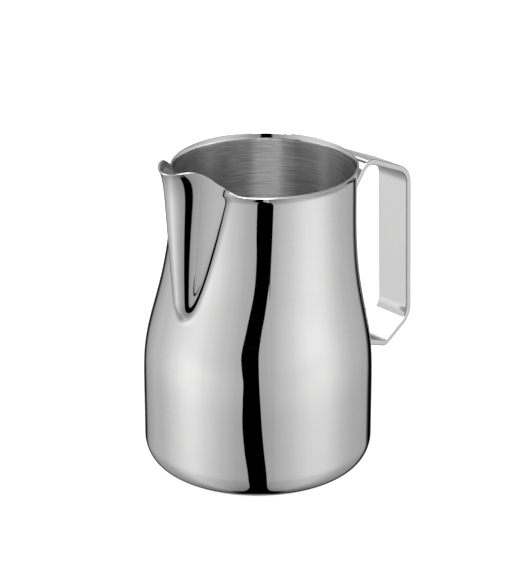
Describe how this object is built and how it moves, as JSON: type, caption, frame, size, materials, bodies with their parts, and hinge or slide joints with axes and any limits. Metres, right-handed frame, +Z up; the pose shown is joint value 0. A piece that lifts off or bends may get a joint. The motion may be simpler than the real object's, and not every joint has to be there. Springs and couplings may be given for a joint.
{
  "type": "milk frothing pitcher",
  "caption": "Stainless steel milk frothing pitcher: bellied body, narrow neck with flared rim, pressed beak spout and bent flat strap handle.",
  "frame": {"origin": "centre of the flat base, on the axis of the belly", "axes": "+Z up through the mouth, +X towards the handle, -X towards the spout, XZ is the plane of symmetry"},
  "size_m": [0.1262, 0.0896, 0.1307],
  "materials": {
    "jug_body": "mirror polished stainless steel outside, brushed inside",
    "handle_strap": "polished stainless steel bar with fine lengthwise grain",
    "weld_bead": "rippled weld metal, lightly heat tinted"
  },
  "bodies": {
    "root": {"jug_body": "jug_body", "handle_strap": "handle_strap", "upper_weld_bead": "weld_bead", "lower_weld_bead": "weld_bead"}
  },
  "joints": []
}
